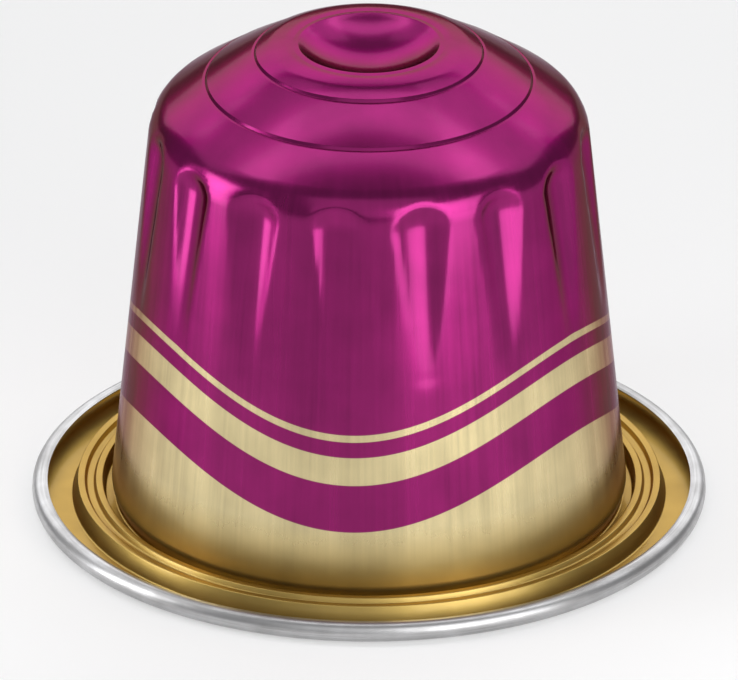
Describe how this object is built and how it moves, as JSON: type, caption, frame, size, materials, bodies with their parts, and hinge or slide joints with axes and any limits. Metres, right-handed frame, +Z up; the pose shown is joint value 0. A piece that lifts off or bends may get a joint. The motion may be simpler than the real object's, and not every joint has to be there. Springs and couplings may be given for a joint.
{
  "type": "coffee pod",
  "caption": "Single-serve coffee pod of deep-drawn lacquered aluminium: stepped domed end, fluted tapered wall, ridged flange with a curled edge and a sealed foil lid.",
  "frame": {"origin": "on the pod's axis, in the plane of the foil lid's outside, which is the plane it rests on", "axes": "+Z up along the pod's axis, towards the closed domed end; -Y is the front"},
  "size_m": [0.0372, 0.0372, 0.0275],
  "materials": {
    "lacquered_aluminium": "gloss coloured lacquer over drawn aluminium, purple above and gold below",
    "bare_aluminium": "bright rolled aluminium, the inner face of the sheet turned outwards by the curl",
    "lid_foil": "satin rolled foil with an embossed seal"
  },
  "bodies": {
    "root": {"sealed_pod": "lacquered_aluminium"}
  },
  "joints": []
}
